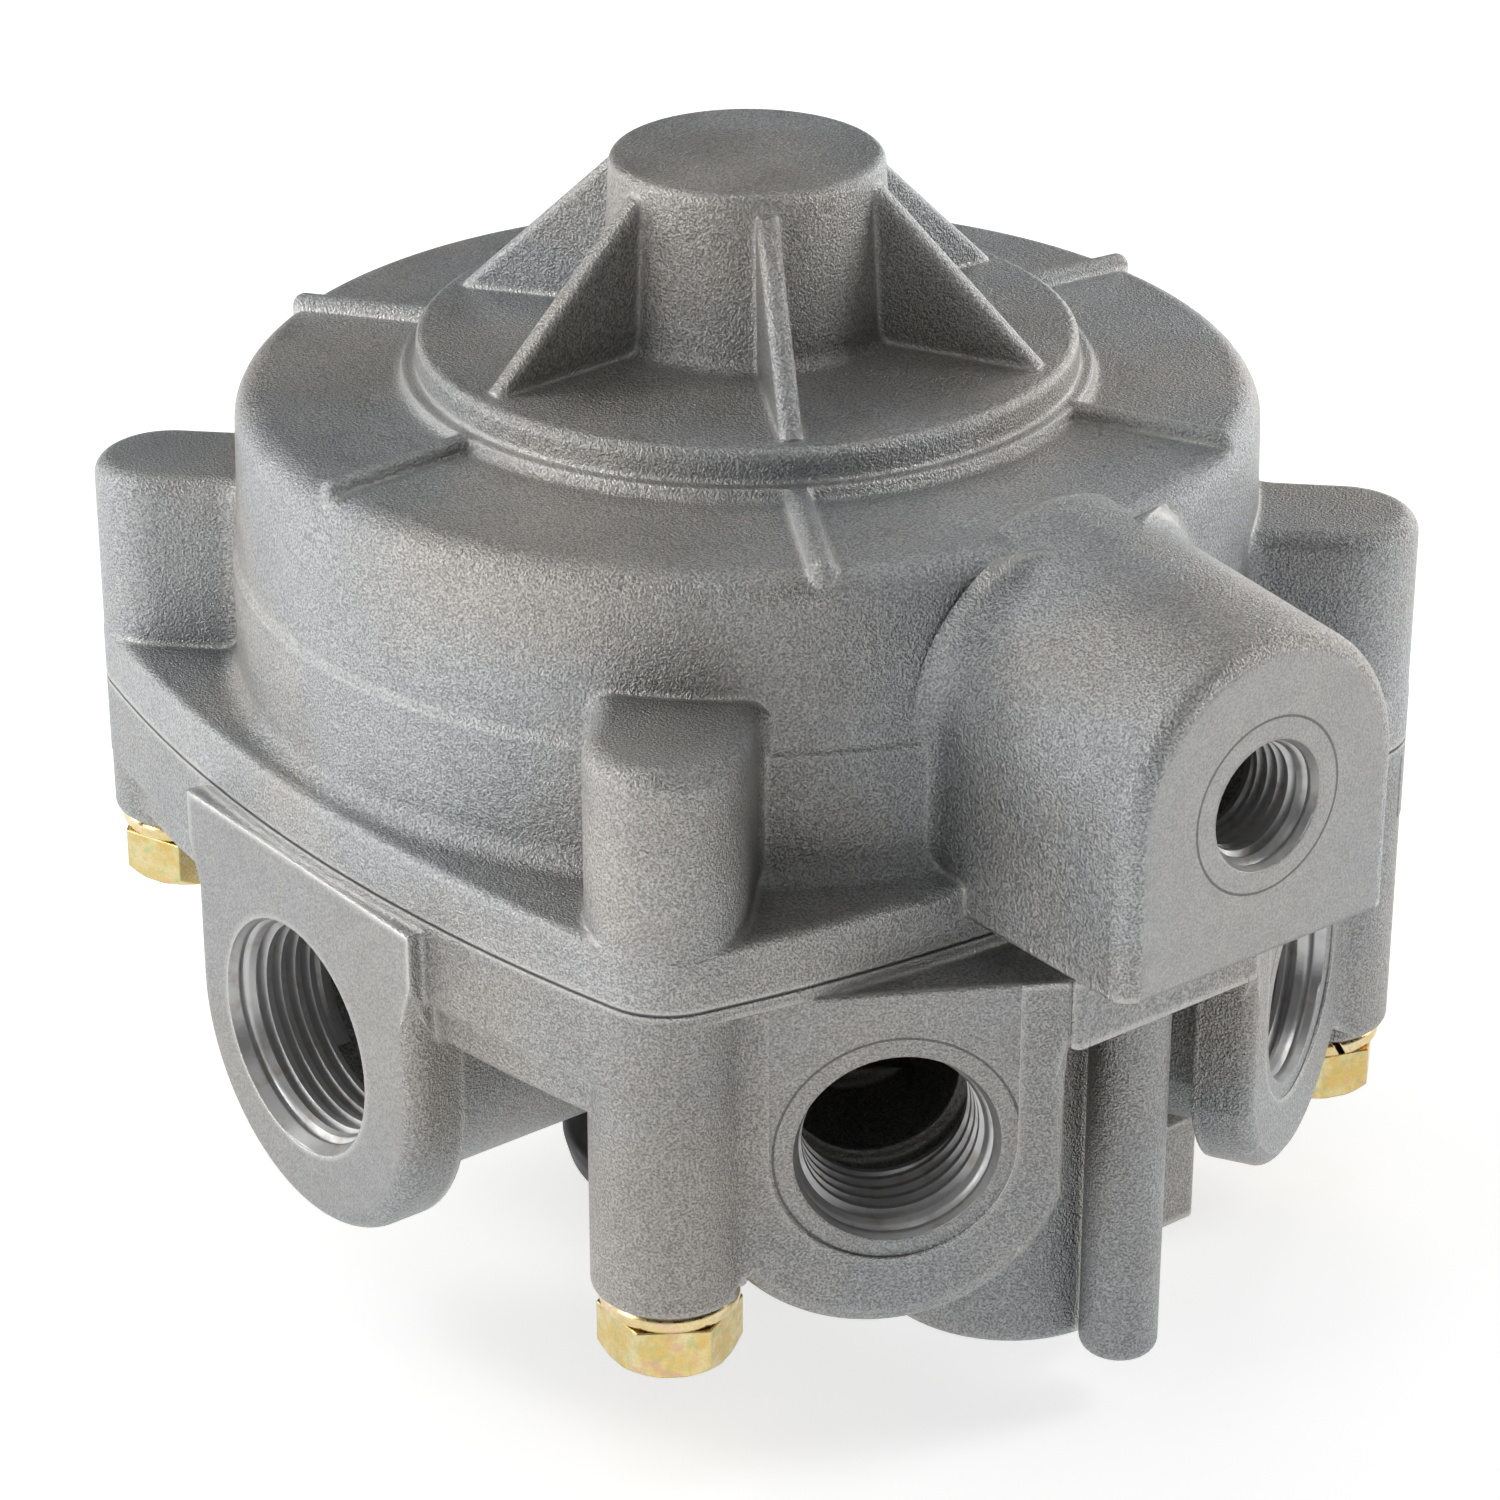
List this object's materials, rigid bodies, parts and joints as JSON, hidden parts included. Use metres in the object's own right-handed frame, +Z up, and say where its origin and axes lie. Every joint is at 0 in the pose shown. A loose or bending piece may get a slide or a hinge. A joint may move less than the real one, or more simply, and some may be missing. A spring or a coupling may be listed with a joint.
{
  "type": "relay valve",
  "caption": "Pneumatic relay valve with a ribbed round cover, threaded pipe ports around a cast body, and an inner piston that opens a combined inlet and exhaust valve.",
  "frame": {"origin": "on the valve axis, at the ring that the valve stands on", "axes": "+Z up along the valve axis, +X out of the control port"},
  "size_m": [0.1411, 0.1194, 0.1207],
  "materials": {
    "cast_aluminium": "shot-blasted die casting",
    "yellow_zinc": "yellow zinc plate",
    "gold_zinc": "polished yellow zinc plate",
    "black_rubber": "satin",
    "machined_aluminium": "turned",
    "spring_steel": "drawn",
    "brass": "turned"
  },
  "bodies": {
    "housing": {"cover": "cast_aluminium", "body": "cast_aluminium", "sealing_ring": "black_rubber", "return_spring": "spring_steel", "valve_spring": "spring_steel", "valve_guide": "machined_aluminium", "guide_outer_o_ring": "black_rubber", "guide_inner_o_ring": "black_rubber", "retaining_ring": "spring_steel", "exhaust_spider": "machined_aluminium", "exhaust_shield": "black_rubber", "exhaust_flap": "black_rubber", "flap_washer": "spring_steel", "flap_screw": "yellow_zinc", "screw_front": "yellow_zinc", "lock_washer_front": "gold_zinc", "screw_right": "yellow_zinc", "lock_washer_right": "gold_zinc", "screw_back": "yellow_zinc", "lock_washer_back": "gold_zinc", "screw_left": "yellow_zinc", "lock_washer_left": "gold_zinc"},
    "piston": {"relay_piston": "machined_aluminium", "piston_o_ring": "black_rubber"},
    "valve": {"valve_disc": "black_rubber", "valve_tube": "brass", "valve_collar": "spring_steel"}
  },
  "joints": [
    {"name": "piston_slide", "type": "slide", "parent": "housing", "child": "piston", "axis": [0, 0, -1], "range_m": [0, 0.003], "stiffness_N_per_m": 800, "springref_m": -0.004, "deforming": ["return_spring"]},
    {"name": "valve_slide", "type": "slide", "parent": "housing", "child": "valve", "axis": [0, 0, -1], "range_m": [0, 0.002], "stiffness_N_per_m": 600, "springref_m": -0.004, "deforming": ["valve_spring"]}
  ],
  "couplings": [
    {"joint": "valve_slide", "follows": "piston_slide", "ratio": 0.66667}
  ]
}
